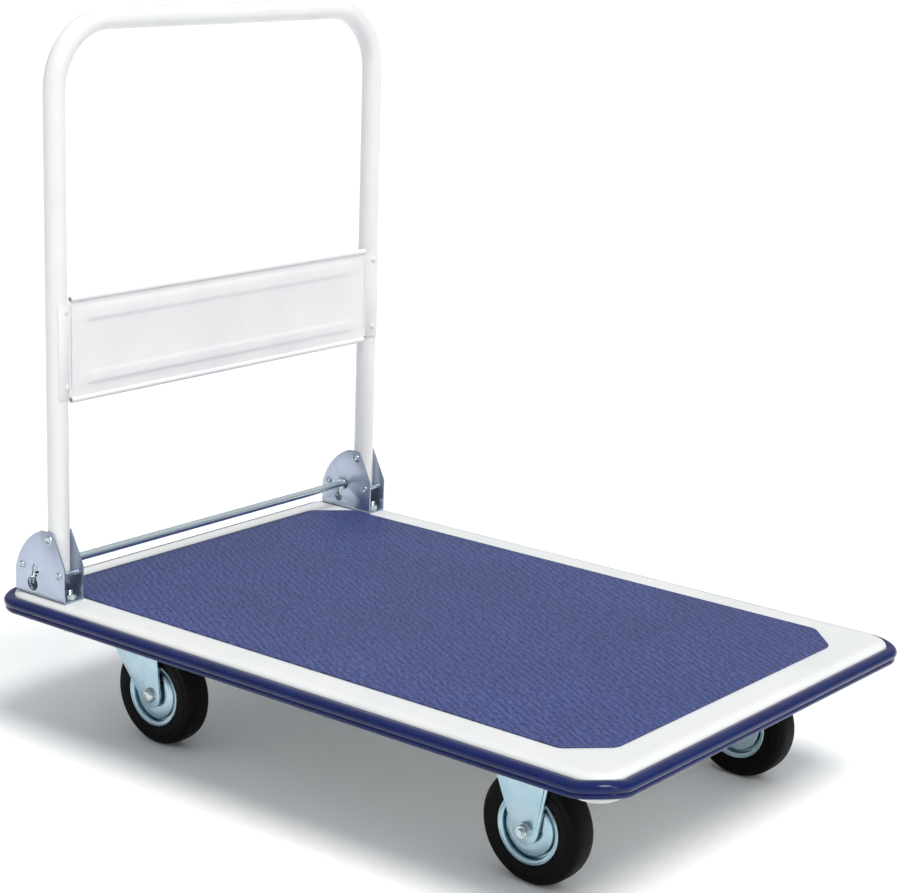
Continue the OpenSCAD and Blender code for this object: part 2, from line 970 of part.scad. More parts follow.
module rear_right_spacer() {
  color([0.6, 0.64, 0.68])
    spacer(king_x + swivel_off, -rear_y);
}

module rear_right_rim() {
  color([0.66, 0.71, 0.75])
    rim(king_x + swivel_off, -rear_y);
}

module rear_right_tyre() {
  color([0.08, 0.08, 0.09])
    tyre(king_x + swivel_off, -rear_y);
}

module rear_right_bearing() {
  color([0.5, 0.52, 0.55])
    bearing(king_x + swivel_off, -rear_y);
}

module front_left_fork() {
  color([0.66, 0.71, 0.75])
    rigid_fork(front_y);
}

module front_left_axle() {
  color([0.7, 0.74, 0.77])
    axle(front_x, front_y, -1);
}

module front_left_nut() {
  color([0.7, 0.74, 0.77])
    axle_nut(front_x, front_y, -1);
}

module front_left_spacer() {
  color([0.6, 0.64, 0.68])
    spacer(front_x, front_y);
}

module front_left_rim() {
  color([0.66, 0.71, 0.75])
    rim(front_x, front_y);
}

module front_left_tyre() {
  color([0.08, 0.08, 0.09])
    tyre(front_x, front_y);
}

module front_left_bearing() {
  color([0.5, 0.52, 0.55])
    bearing(front_x, front_y);
}

module front_right_fork() {
  color([0.66, 0.71, 0.75])
    rigid_fork(-front_y);
}

module front_right_axle() {
  color([0.7, 0.74, 0.77])
    axle(front_x, -front_y, 1);
}

module front_right_nut() {
  color([0.7, 0.74, 0.77])
    axle_nut(front_x, -front_y, 1);
}

module front_right_spacer() {
  color([0.6, 0.64, 0.68])
    spacer(front_x, -front_y);
}

module front_right_rim() {
  color([0.66, 0.71, 0.75])
    rim(front_x, -front_y);
}

module front_right_tyre() {
  color([0.08, 0.08, 0.09])
    tyre(front_x, -front_y);
}

module front_right_bearing() {
  color([0.5, 0.52, 0.55])
    bearing(front_x, -front_y);
}

// ---- Drawing ----

deck_tray();
deck_mat();
bumper();
rail_left();
rail_right();
channel_left();
channel_right();
bracket_left();
bracket_right();
bracket_bolts();
bracket_nuts();
pivot_pins();
stop_pins();
rear_pins();
caster_bolts();
caster_nuts();
spring_left();
spring_right();
handle_tube();
handle_panel();
panel_rivets();
release_rod();
release_sleeve();
release_collars();
rear_left_plate();
rear_left_race();
rear_left_king_pin();
rear_left_fork();
rear_left_axle();
rear_left_nut();
rear_left_spacer();
rear_left_rim();
rear_left_tyre();
rear_left_bearing();
rear_right_plate();
rear_right_race();
rear_right_king_pin();
rear_right_fork();
rear_right_axle();
rear_right_nut();
rear_right_spacer();
rear_right_rim();
rear_right_tyre();
rear_right_bearing();
front_left_fork();
front_left_axle();
front_left_nut();
front_left_spacer();
front_left_rim();
front_left_tyre();
front_left_bearing();
front_right_fork();
front_right_axle();
front_right_nut();
front_right_spacer();
front_right_rim();
front_right_tyre();
front_right_bearing();
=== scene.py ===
import json
import math

import bmesh
import bpy
from mathutils import Matrix, Vector

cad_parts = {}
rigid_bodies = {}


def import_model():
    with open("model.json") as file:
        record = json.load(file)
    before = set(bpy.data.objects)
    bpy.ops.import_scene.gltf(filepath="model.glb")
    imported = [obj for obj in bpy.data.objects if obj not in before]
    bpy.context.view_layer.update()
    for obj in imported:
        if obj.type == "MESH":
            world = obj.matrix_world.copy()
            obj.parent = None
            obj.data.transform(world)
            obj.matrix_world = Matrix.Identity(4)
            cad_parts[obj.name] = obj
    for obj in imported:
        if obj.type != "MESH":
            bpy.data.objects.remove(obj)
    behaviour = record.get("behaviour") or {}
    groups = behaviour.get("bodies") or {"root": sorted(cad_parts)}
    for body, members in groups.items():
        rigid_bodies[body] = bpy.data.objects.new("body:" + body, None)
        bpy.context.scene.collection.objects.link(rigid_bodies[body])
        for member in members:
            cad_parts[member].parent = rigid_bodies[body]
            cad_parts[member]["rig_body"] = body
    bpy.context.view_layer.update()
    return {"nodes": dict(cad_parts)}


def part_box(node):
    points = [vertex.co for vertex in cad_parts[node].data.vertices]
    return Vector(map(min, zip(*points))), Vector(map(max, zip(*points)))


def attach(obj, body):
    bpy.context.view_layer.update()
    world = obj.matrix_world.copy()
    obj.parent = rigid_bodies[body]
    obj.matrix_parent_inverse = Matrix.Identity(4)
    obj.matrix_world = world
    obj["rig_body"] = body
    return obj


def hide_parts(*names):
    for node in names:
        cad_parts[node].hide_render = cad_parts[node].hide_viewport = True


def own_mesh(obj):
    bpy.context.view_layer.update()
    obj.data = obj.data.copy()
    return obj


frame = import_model()

# Sizes in millimetres, as in the CAD source.
# The tray's top, where its round corners are centred, and how far its wall stands out from there
TOP = 178.0
DECK_IN = (403.0, 260.0)
WALL = 34.0
# The hinges: their distance from the middle, and places in the side view
HINGE_Y = 271.9
BRACKET_X = -421.0
BRACKET_HALF = 15.1
BRACKET_BOLTS = (-344.0, -408.0)
PIVOT = (-361.5, 251.0)
ROD = (-385.5, 211.5)
STOP = (-345.0, 211.0)
REAR_PIN = (-409.5, 212.0)
# The handle tube and its panel
TUBE_R = 12.7
TUBE_WALL = 1.5
PANEL_OFF = 7.0
PANEL_Z = (412.0, 537.0)
# The casters: wheels, axles, king pins and mounting plates
WHEEL_R = 63.5
LEG_OUT = 23.0
LEG_T = 2.5
KING = (-305.0, 190.0)
AXLE_X = 294.0
FRONT_PLATE = (286.0, 202.0)
PLATE_Z = 157.0
# Across the flats of an M8 head or nut, and the radius of its shank
FLATS = 13.0
SHANK_R = 4.0


# ---- Ways of working ----

def at(x, y, z):
    """A place given in millimetres."""
    return Vector((x, y, z)) * 0.001


def hold(*pieces):
    """Selects these pieces alone, with the first one active."""
    bpy.ops.object.select_all(action="DESELECT")
    for piece in pieces:
        piece.select_set(True)
    bpy.context.view_layer.objects.active = pieces[0]


def open_mesh(piece):
    hold(piece)
    bpy.ops.object.mode_set(mode="EDIT")
    bpy.ops.mesh.select_mode(type="VERT")
    bpy.ops.mesh.select_all(action="SELECT")


def shut_mesh():
    bpy.ops.object.mode_set(mode="OBJECT")


def pick(piece, kind, test):
    """In edit mode, selects only the corners, edges or faces that pass a test."""
    bpy.ops.mesh.select_mode(type=kind)
    bpy.ops.mesh.select_all(action="DESELECT")
    mesh = bmesh.from_edit_mesh(piece.data)
    for part in {"VERT": mesh.verts, "EDGE": mesh.edges, "FACE": mesh.faces}[kind]:
        if test(part):
            part.select_set(True)
    bmesh.update_edit_mesh(piece.data)


def middle(part):
    """The middle of an edge or face, in millimetres."""
    return sum((v.co for v in part.verts), Vector()) / len(part.verts) * 1000


def arc(cx, cy, r, start, end, steps):
    """Points on an arc, with its angles in degrees."""
    turns = [math.radians(start + (end - start) * i / steps) for i in range(steps + 1)]
    return [(cx + r * math.cos(a), cy + r * math.sin(a)) for a in turns]


def trace(points, closed=True, fill=True):
    """Draws a line through points by extruding one corner along them."""
    bpy.ops.object.select_all(action="DESELECT")
    bpy.ops.mesh.primitive_plane_add(size=0.0001, location=points[0])
    piece = bpy.context.object
    bpy.ops.object.transform_apply(location=True, rotation=True, scale=True)
    open_mesh(piece)
    bpy.ops.mesh.merge(type="CENTER")
    for here, there in zip(points, points[1:]):
        bpy.ops.mesh.extrude_region_move(TRANSFORM_OT_translate={"value": there - here})
    if closed:
        bpy.ops.mesh.select_all(action="SELECT")
        bpy.ops.mesh.edge_face_add()
        if not fill:
            bpy.ops.mesh.delete(type="ONLY_FACE")
    shut_mesh()
    return piece


def clean(piece, gap=0.00001):
    """Merges doubled corners and turns the faces outwards."""
    open_mesh(piece)
    bpy.ops.mesh.remove_doubles(threshold=gap)
    bpy.ops.mesh.normals_make_consistent(inside=False)
    shut_mesh()
    return piece


def slab(points, move):
    """An outline filled and pushed out to a thickness."""
    piece = trace(points)
    open_mesh(piece)
    bpy.ops.mesh.extrude_region_move(TRANSFORM_OT_translate={"value": move})
    shut_mesh()
    return clean(piece)


def side_slab(outline, y0, y1):
    """A plate cut from an outline in the side view, between two distances across."""
    return slab([at(x, y0, z) for x, z in outline], at(0, y1 - y0, 0))


def turned(profile, centre, axis="Y", steps=64):
    """A turned shape: a profile of radius against height, spun round its axis."""
    if axis == "Y":
        points = [centre + at(r, h, 0) for r, h in profile]
    else:
        points = [centre + at(r, 0, h) for r, h in profile]
    piece = trace(points, closed=profile[0][0] > 0, fill=False)
    open_mesh(piece)
    way = (0, 1, 0) if axis == "Y" else (0, 0, 1)
    bpy.ops.mesh.spin(steps=steps, angle=math.tau, center=centre, axis=way)
    shut_mesh()
    return clean(piece)


def carry(piece, moves):
    """Carries a profile along straight runs and round bends."""
    open_mesh(piece)
    for move in moves:
        if len(move) == 1:
            bpy.ops.mesh.extrude_region_move(TRANSFORM_OT_translate={"value": move[0]})
        else:
            centre, axis, steps = move
            bpy.ops.mesh.spin(steps=steps, angle=math.pi / 2, center=centre, axis=axis)
    shut_mesh()
    return clean(piece)


def work(piece, kind, **settings):
    """Adds a modifier and applies it."""
    made = piece.modifiers.new("work", kind)
    for name, value in settings.items():
        setattr(made, name, value)
    hold(piece)
    bpy.ops.object.modifier_apply(modifier=made.name)
    return piece


def combine(piece, other, operation):
    """Cuts, joins or keeps the common part of two solids, and uses up the second."""
    work(piece, "BOOLEAN", operation=operation, object=other, solver="EXACT")
    bpy.data.objects.remove(other)
    return piece


def ease(piece, width, segments=2, angle=35):
    """Rounds the sharp edges."""
    return work(piece, "BEVEL", width=width * 0.001, segments=segments,
                limit_method="ANGLE", angle_limit=math.radians(angle),
                harden_normals=False)


def join(*pieces):
    hold(*pieces)
    bpy.ops.object.join()
    return pieces[0]


def twin(piece, move=(0, 0, 0), mirror=False):
    """A copy with its own mesh, moved or mirrored to the other side."""
    hold(piece)
    bpy.ops.object.duplicate()
    made = bpy.context.object
    made.location = at(*move)
    if mirror:
        made.scale = (1, -1, 1)
    bpy.ops.object.transform_apply(location=True, rotation=True, scale=True)
    if mirror:
        open_mesh(made)
        bpy.ops.mesh.normals_make_consistent(inside=False)
        shut_mesh()
    return made


def fit(piece, name, nodes, material, smooth=38):
    """Names a finished piece, paints it and hangs it on the body of the nodes it stands for."""
    piece.name = name
    piece.data.name = name
    piece.data.materials.clear()
    piece.data.materials.append(material)
    hold(piece)
    bpy.ops.object.shade_smooth_by_angle(angle=math.radians(smooth))
    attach(piece, frame["nodes"][nodes[0]]["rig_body"])
    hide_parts(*nodes)
    return piece


# ---- Finishes ----

def linear(code):
    """Turns an sRGB hex colour to linear values."""
    parts = [int(code[i:i + 2], 16) / 255 for i in (1, 3, 5)]
    return tuple(v / 12.92 if v <= 0.04045 else ((v + 0.055) / 1.055) ** 2.4
                 for v in parts) + (1.0,)


def put(tree, kind, sockets=(), **settings):
    """Adds a node with its settings, and its sockets' values or links."""
    made = tree.nodes.new(kind)
    for name, value in settings.items():
        setattr(made, name, value)
    for name, value in dict(sockets).items():
        if isinstance(value, bpy.types.NodeSocket):
            tree.links.new(value, made.inputs[name])
        else:
            made.inputs[name].default_value = value
    return made


def finish(name, low, high, patch, rough, grain, depth, stretch=(1, 1, 1),
           metallic=0.0, **sockets):
    """A finish whose colour and gloss drift over patches, with a fine grain in relief.

    patch and grain are sizes in millimetres, and depth is the grain's height."""
    made = bpy.data.materials.new(name)
    made.use_nodes = True
    tree = made.node_tree
    shader = tree.nodes["Principled BSDF"]
    shader.inputs["Metallic"].default_value = metallic
    for socket, value in sockets.items():
        shader.inputs[socket.replace("_", " ")].default_value = value
    place = put(tree, "ShaderNodeTexCoord")
    drawn = put(tree, "ShaderNodeMapping", {"Vector": place.outputs["Object"],
                                            "Scale": stretch})
    cloud = put(tree, "ShaderNodeTexNoise", {"Vector": drawn.outputs["Vector"],
                                             "Scale": 1000 / patch, "Detail": 4.0})
    spread = put(tree, "ShaderNodeMapRange", {"Value": cloud.outputs["Fac"],
                                              "From Min": 0.3, "From Max": 0.7})
    tint = put(tree, "ShaderNodeMix", {0: spread.outputs["Result"],
                                       6: linear(low), 7: linear(high)}, data_type="RGBA")
    gloss = put(tree, "ShaderNodeMapRange", {"Value": spread.outputs["Result"],
                                             "To Min": rough[0], "To Max": rough[1]})
    fine = put(tree, "ShaderNodeTexNoise", {"Vector": drawn.outputs["Vector"],
                                            "Scale": 1000 / grain, "Detail": 3.0})
    relief = put(tree, "ShaderNodeBump", {"Height": fine.outputs["Fac"],
                                          "Distance": depth * 0.001})
    tree.links.new(tint.outputs[2], shader.inputs["Base Color"])
    tree.links.new(gloss.outputs["Result"], shader.inputs["Roughness"])
    tree.links.new(relief.outputs["Normal"], shader.inputs["Normal"])
    return made


# Powder coat baked on pressed steel: an even white with the faint ripple of orange peel
powder_coat = finish("white_powder_coat", "#D8D9D9", "#DEDEDC", 90, (0.36, 0.44),
                     3.0, 0.02)
# The same coat on the bent tube and its panel, a little glossier
tube_coat = finish("white_tube_coat", "#E2E2E2", "#E8E8E6", 70, (0.28, 0.36), 3.0, 0.015)
# Extruded PVC: deep blue and glossy, with faint drawing lines
blue_pvc = finish("blue_extruded_pvc", "#08164A", "#0D1D56", 40, (0.14, 0.22),
                  5.0, 0.015, Specular_IOR_Level=0.26)
# Zinc plate with a blue passivate on pressed steel: pale, cloudy, softly bright
zinc_blue = finish("blue_passivated_zinc", "#9DBBC8", "#BACFD8", 26, (0.2, 0.34),
                   1.2, 0.006, metallic=1.0)
# The same plate on the bent brackets, with a violet cast and brighter polish
zinc_violet = finish("violet_passivated_zinc", "#AEB7CB", "#BDC5D3", 30, (0.28, 0.4),
                     1.5, 0.005, metallic=1.0)
# Drawn bar, zinc plated: bright, with lines along its length
zinc_bar = finish("zinc_plated_bar", "#CCDBDE", "#E2ECEC", 14, (0.24, 0.36), 1.2, 0.006,
                  stretch=(1, 0.06, 1), metallic=1.0)
# Zinc plated bolts, nuts and rivets
zinc_bolt = finish("zinc_plated_bolts", "#B4C3C8", "#D0DADB", 5, (0.16, 0.32), 0.8, 0.01,
                   metallic=1.0)
# Moulded rubber: near black and matt, with a dusty bloom
rubber = finish("black_moulded_rubber", "#040304", "#080708", 18, (0.46, 0.6), 1.1, 0.03,
                Specular_IOR_Level=0.1)
# Hardened spring wire, oiled and dark
spring_wire = finish("oiled_spring_wire", "#2E3135", "#4A4E52", 3, (0.28, 0.42), 0.6,
                     0.01, metallic=1.0)
# Greased bearing steel
bearing_steel = finish("greased_bearing_steel", "#6E7478", "#8B9195", 6, (0.25, 0.4),
                       0.8, 0.01, metallic=1.0)


def embossed_vinyl():
    """Calendered vinyl: blue-violet, half matt, pressed with a slanting wavy grain whose hollows
    are painted darker as shade.
    """
    made = finish("blue_embossed_vinyl", "#404B86", "#4A5793", 150, (0.36, 0.46), 1.2, 0.02)
    tree = made.node_tree
    shader = tree.nodes["Principled BSDF"]
    place = put(tree, "ShaderNodeTexCoord")
    aslant = put(tree, "ShaderNodeMapping", {"Vector": place.outputs["Object"],
                                             "Rotation": (0, 0, math.radians(29))})
    # Wavy ridges 8.5 mm apart, with lumps 7 mm long and 3 mm wide on them
    ridges = put(tree, "ShaderNodeTexWave", {"Vector": aslant.outputs["Vector"],
                                             "Scale": 37.0, "Distortion": 5.0,
                                             "Detail": 2.0, "Detail Scale": 2.6},
                 bands_direction="Y")
    drawn_out = put(tree, "ShaderNodeMapping", {"Vector": aslant.outputs["Vector"],
                                                "Scale": (150, 340, 100)})
    lumps = put(tree, "ShaderNodeTexNoise", {"Vector": drawn_out.outputs["Vector"],
                                             "Scale": 1.0, "Detail": 2.0,
                                             "Distortion": 0.8})
    rise = put(tree, "ShaderNodeMapRange", {"Value": lumps.outputs["Fac"],
                                            "From Min": 0.36, "From Max": 0.64})
    edge = put(tree, "ShaderNodeMix", {0: 0.52, 2: ridges.outputs["Fac"],
                                       3: rise.outputs["Result"]})
    first = [n for n in tree.nodes if n.type == "BUMP"][0]
    pressed = put(tree, "ShaderNodeBump", {"Height": edge.outputs[0],
                                           "Normal": first.outputs["Normal"],
                                           "Distance": 0.0011, "Strength": 1.0})
    tint = [n for n in tree.nodes if n.type == "MIX"][0]
    # Painted shade: the low parts of the pressed grain are tinted dark navy, standing in for the
    # shade that falls in its hollows.
    painted_hollow_shade = put(tree, "ShaderNodeMix", {0: edge.outputs[0], 6: linear("#1D2759"),
                                         7: tint.outputs[2]}, data_type="RGBA")
    tree.links.new(painted_hollow_shade.outputs[2], shader.inputs["Base Color"])
    tree.links.new(pressed.outputs["Normal"], shader.inputs["Normal"])
    return made


vinyl = embossed_vinyl()


# ---- Camera, light and floor ----

def studio():
    """A long lens from the front corner, a high soft key, one softbox and a pale floor."""
    back = Vector((0.60145, -0.76048, 0.24480))
    aim = Vector((0.0036, -0.0020, 0.3802))
    distance = 2.6342
    roll = math.radians(1.81)
    right = Vector((0, 0, 1)).cross(back).normalized()
    up = back.cross(right)
    across = right * math.cos(roll) + up * math.sin(roll)
    upward = up * math.cos(roll) - right * math.sin(roll)
    data = bpy.data.cameras.new("camera")
    data.lens = 91.66
    data.sensor_width = 36
    data.sensor_fit = "HORIZONTAL"
    camera = bpy.data.objects.new("camera", data)
    bpy.context.scene.collection.objects.link(camera)
    turn = Matrix((across, upward, back)).transposed().to_4x4()
    camera.matrix_world = Matrix.Translation(aim + back * distance) @ turn
    bpy.context.scene.camera = camera

    def lamp(name, place, target, size, power):
        light = bpy.data.lights.new(name, "AREA")
        light.shape = "RECTANGLE"
        light.size, light.size_y = size
        light.energy = power
        made = bpy.data.objects.new(name, light)
        bpy.context.scene.collection.objects.link(made)
        made.location = place
        made.rotation_euler = (Vector(target) - Vector(place)).to_track_quat("-Z", "Y").to_euler()

    key = bpy.data.lights.new("high_key", "SUN")
    key.energy = 2.3
    key.color = (1, 0.98, 0.94)
    key.angle = math.radians(26)
    high = bpy.data.objects.new("high_key", key)
    bpy.context.scene.collection.objects.link(high)
    high.rotation_euler = Vector((0.5, -0.15, 1)).to_track_quat("Z", "Y").to_euler()
    lamp("strip_softbox", (2.6, -0.4, 1.2), (0, 0, 0.2), (0.3, 2.2), 9)

    world = bpy.data.worlds.new("studio")
    world.use_nodes = True
    tree = world.node_tree
    # Bright overhead and dim near the horizon, so that bright metal has something to mirror
    sky = put(tree, "ShaderNodeTexCoord")
    height = put(tree, "ShaderNodeSeparateXYZ", {"Vector": sky.outputs["Generated"]})
    glow = put(tree, "ShaderNodeMapRange", {"Value": height.outputs["Z"], "From Min": 0.05,
                                            "From Max": 0.8, "To Min": 0.32,
                                            "To Max": 0.74}, interpolation_type="SMOOTHSTEP")
    tree.nodes["Background"].inputs["Color"].default_value = (0.9, 0.95, 1, 1)
    tree.links.new(glow.outputs["Result"], tree.nodes["Background"].inputs["Strength"])
    bpy.context.scene.world = world
    bpy.context.scene.view_settings.view_transform = "Standard"

    bpy.ops.object.select_all(action="DESELECT")
    bpy.ops.mesh.primitive_plane_add(size=60)
    floor = bpy.context.object
    floor.name = "floor"
    paper = finish("pale_floor", "#F8F8F8", "#F9F9F9", 4000, (0.9, 0.95), 40.0, 0.0,
                   Specular_IOR_Level=0.1)
    floor.data.materials.append(paper)


studio()


# ---- Deck ----

def round_deck(profile, closed, steps):
    """Carries a profile of distance out against height round the deck."""
    cx, cy = DECK_IN
    piece = trace([at(cx + out, -cy, z) for out, z in profile], closed=closed, fill=False)
    up = (0, 0, -1)
    return carry(piece, [
        (at(0, 2 * cy, 0),), (at(cx, cy, 0), up, steps),
        (at(-2 * cx, 0, 0),), (at(-cx, cy, 0), up, steps),
        (at(0, -2 * cy, 0),), (at(-cx, -cy, 0), up, steps),
        (at(2 * cx, 0, 0),), (at(cx, -cy, 0), up, steps)])


def raise_corner(piece, side_x, side_y, steps, lift, below):
    """Raises or lowers what runs round one corner of the deck, most in its middle."""
    cx, cy = DECK_IN
    open_mesh(piece)
    for i in range(1, steps):
        turn = math.radians(90 * i / steps)

        def on_ring(v):
            x, y = side_x * v.co.x * 1000 - cx, side_y * v.co.y * 1000 - cy
            return x > 0.5 and y > 0.5 and v.co.z * 1000 < below \
                and abs(math.atan2(y, x) - turn) < 0.01
        pick(piece, "VERT", on_ring)
        share = math.sin(math.pi * i / steps) ** 1.2
        bpy.ops.transform.translate(value=at(0, 0, lift * share))
    shut_mesh()


def make_tray():
    """Pressed tray: flat top, soft shoulder, wall, and a lip turned in at the bottom."""
    wide, deep, foot_r, tray_h, lip, sheet = 13, 7, 2.5, 27, 9.5, 1.5
    shoulder = [(WALL - wide + wide * math.sin(a), TOP - deep + deep * math.cos(a))
                for a in [math.radians(9 * i) for i in range(11)]]
    foot = arc(WALL - foot_r, TOP - tray_h + foot_r, foot_r, 0, -90, 4)
    rim = [(WALL - wide - 3, TOP)] + shoulder + foot + [(WALL - lip, TOP - tray_h)]
    steps = 20
    tray = round_deck(rim, False, steps)
    # The lip dips a little at the corners
    for side_x in (-1, 1):
        for side_y in (-1, 1):
            raise_corner(tray, side_x, side_y, steps, -1.5, TOP - 20)
    open_mesh(tray)
    pick(tray, "EDGE", lambda e: e.is_boundary and middle(e).z > TOP - 1)
    bpy.ops.mesh.edge_face_add()
    shut_mesh()
    clean(tray)
    work(tray, "SOLIDIFY", thickness=sheet * 0.001, offset=-1)
    return fit(tray, "pressed_deck_tray", ["deck_tray"], powder_coat)


def make_bumper():
    """Extruded bumper of two beads with a groove between them."""
    back, upper_edge, lower_edge = WALL + 0.1, TOP - 5.6, TOP - 23.5
    upper_out, upper_wide, upper_high = 39.4, 7.5, 6.1
    upper = [(upper_out + upper_wide * math.cos(a), TOP - 11.6 + upper_high * math.sin(a))
             for a in [math.radians(100 - 12.5 * i) for i in range(11)]]
    lower = arc(40.8, TOP - 19.3, 4.2, 34, -88, 10)
    steps = 24
    strip = [(back, upper_edge - 0.8), (back + 0.8, upper_edge)] + upper + lower
    bumper = round_deck(strip + [(back, lower_edge)], True, steps)
    # The strip isn't level: it rides up round the near front corner and sags round two others
    for side_x, side_y, lift in ((1, -1, 3.0), (-1, -1, -1.4), (1, 1, -1.4)):
        raise_corner(bumper, side_x, side_y, steps, lift, TOP)
    return fit(bumper, "extruded_bumper", ["bumper"], blue_pvc, 50)


def make_mat():
    """Vinyl mat with its four corners cut off and a soft upper edge."""
    low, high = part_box("deck_mat")
    (x0, y0, z0), (x1, y1, z1) = low * 1000, high * 1000
    cut = 42.0
    outline = [(x0 + cut, y0), (x1 - cut, y0), (x1, y0 + cut), (x1, y1 - cut),
               (x1 - cut, y1), (x0 + cut, y1), (x0, y1 - cut), (x0, y0 + cut)]
    mat = slab([at(x, y, z0) for x, y in outline], at(0, 0, z1 - z0))
    open_mesh(mat)
    pick(mat, "EDGE", lambda e: abs(e.verts[0].co.z - e.verts[1].co.z) > 0.001)
    bpy.ops.mesh.bevel(offset=0.006, segments=4, affect="EDGES")
    shut_mesh()
    ease(mat, 0.7, 3)
    return fit(mat, "embossed_deck_mat", ["deck_mat"], vinyl)


make_tray()
make_bumper()
make_mat()


# ---- Hinge brackets ----

def cheek_outline():
    """Side view of a cheek: a round back, a short top and a front edge that slants down."""
    front, tall, knee = -336, 82.5, 42
    round_back = arc(-347.5, TOP + 12.9, 75, 168.4, 112, 14)
    return [(BRACKET_X, TOP - 1)] + round_back + [
        (-356.5, TOP + tall), (front, TOP + knee), (front, TOP - 1)]


def make_bracket(side):
    """Bent bracket: one sheet folded to a base and two cheeks, with the rod's slots."""
    w, t, r = BRACKET_HALF, 2.0, 4.0
    y, high = side * HINGE_Y, TOP + 90
    section = ([(y - w, high)] + arc(y - w + r, TOP + r, r, 180, 270, 6)
               + arc(y + w - r, TOP + r, r, 270, 360, 6) + [(y + w, high), (y + w - t, high)]
               + arc(y + w - r, TOP + r, r - t, 360, 270, 5)
               + arc(y - w + r, TOP + r, r - t, 270, 180, 5) + [(y - w + t, high)])
    bracket = slab([at(BRACKET_X - 2, b, z) for b, z in section], at(90, 0, 0))
    combine(bracket, side_slab(cheek_outline(), y - 20, y + 20), "INTERSECT")
    # Keyhole slots lean back from the rod, and the outer cheek's are the wider ones
    lean, travel = math.radians(17), 20
    lower = (ROD[0] - travel * math.sin(lean), ROD[1] - travel * math.cos(lean))
    for out, upper_r, lower_r, neck in ((-side, 4.6, 5.8, 4.1), (side, 6, 8.6, 4.6)):
        y0, y1 = sorted((y + out * 10, y + out * 20))
        for slot in (side_slab(arc(*ROD, upper_r, 0, 345, 23), y0, y1),
                     side_slab(arc(*lower, lower_r, 0, 345, 23), y0, y1),
                     side_slab([(ROD[0] - neck, ROD[1]), (ROD[0] + neck, ROD[1]),
                                (lower[0] + neck, lower[1]), (lower[0] - neck, lower[1])],
                               y0, y1)):
            combine(bracket, slot, "DIFFERENCE")
    ease(bracket, 0.35, 2, 40)
    name = "left" if side > 0 else "right"
    return fit(bracket, "bent_bracket_" + name, ["bracket_" + name], zinc_violet)


def rivet_head(centre, r, out):
    """Half-tubular rivet head, dished in the middle, standing out along Y."""
    dish = [(0, 0.5), (r * 0.34, 0.6), (r * 0.5, 1.5), (r * 0.72, 2.0), (r * 0.93, 1.5),
            (r, 0.7), (r, -0.2), (0, -0.2)]
    return turned([(a, b * out) for a, b in dish], centre, steps=28)


def make_pin(name, place, shank, head):
    """Pins through both brackets, riveted over at each end."""
    parts = []
    for side in (-1, 1):
        y = side * HINGE_Y
        r, end = shank / 2, BRACKET_HALF + 0.3
        parts.append(turned([(0, -end), (r, -end), (r, end), (0, end)],
                            at(place[0], y, place[1]), steps=32))
        for out in (-1, 1):
            face = y + out * BRACKET_HALF
            parts.append(rivet_head(at(place[0], face, place[1]), head / 2, out))
    return fit(join(*parts), "riveted_" + name, [name], zinc_bolt)


for side in (-1, 1):
    make_bracket(side)
make_pin("pivot_pins", PIVOT, 8, 11)
make_pin("stop_pins", STOP, 6, 9.4)
make_pin("rear_pins", REAR_PIN, 6, 9.4)


def bolt_head(x, y, z, across, height):
    """Six-sided head with rounded corners, its lower face at z."""
    r = across / math.sqrt(3)
    outline = arc(x, y, r, 0, 300, 5)
    head = slab([at(a, b, z) for a, b in outline], at(0, 0, height))
    crown = turned([(0, -1), (r * 0.9, -1), (r * 1.02, 0.9), (r * 1.02, height - 0.9),
                    (r * 0.9, height + 0.1), (0, height + 0.1)], at(x, y, z), "Z", 24)
    combine(head, crown, "INTERSECT")
    return head


def threaded(x, y, z0, z1, r):
    """Screw thread, cut as rings of a real pitch."""
    pitch, ridges = 1.25, []
    z = z0
    while z < z1 - pitch:
        ridges += [(r, z), (r - 0.6, z + pitch / 2)]
        z += pitch
    return turned([(0, z0)] + ridges + [(r - 0.5, z1), (0, z1)], at(x, y, 0), "Z", 20)


def make_bracket_bolts():
    """Two bolts through each bracket, with their heads below and their nuts inside it."""
    head, nut, end = 6.5, 7, TOP + 14.5
    bolts, nuts = [], []
    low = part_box("bracket_bolts")[0].z * 1000
    for side in (-1, 1):
        for x in BRACKET_BOLTS:
            y = side * HINGE_Y
            bolts += [bolt_head(x, y, low, FLATS, head),
                      threaded(x, y, low + 6, end, SHANK_R)]
            nuts.append(bolt_head(x, y, TOP + 2.5, FLATS, nut))
    fit(join(*bolts), "bracket_clamp_bolts", ["bracket_bolts"], zinc_bolt)
    fit(join(*nuts), "bracket_clamp_nuts", ["bracket_nuts"], zinc_bolt)


make_bracket_bolts()


# ---- Release bar and springs ----

def make_release():
    """Rod across both brackets, its longer sleeve, and a collar and washer at each side."""
    end = HINGE_Y + BRACKET_HALF - 4
    face = HINGE_Y - BRACKET_HALF
    middle_of_rod = at(ROD[0], 0, ROD[1])
    rod = turned([(0, -end), (3.2, -end), (4, -end + 0.8), (4, end - 0.8), (3.2, end),
                  (0, end)], middle_of_rod, steps=40)
    fit(rod, "release_rod_bar", ["release_rod"], zinc_bar)
    stop = face - 32
    sleeve = turned([(4.05, -stop), (4.5, -stop), (5, -stop + 0.5), (5, stop - 0.5), (4.5, stop),
                     (4.05, stop)], middle_of_rod, steps=40)
    fit(sleeve, "release_rod_sleeve", ["release_sleeve"], zinc_bar)
    rings = []
    for side in (-1, 1):
        y = side * (face - 2.3)
        rings.append(turned([(4.1, -1.7), (6.5, -1.7), (7, -1.2), (7, 1.2), (6.5, 1.7),
                             (4.1, 1.7)], at(ROD[0], y, ROD[1]), steps=36))
        washer = side * (face - 0.35)
        rings.append(turned([(4.1, -0.3), (8.2, -0.3), (8.6, 0), (8.2, 0.3), (4.1, 0.3)],
                            at(ROD[0], washer, ROD[1]), steps=36))
    fit(join(*rings), "release_rod_collars", ["release_collars"], zinc_bolt)


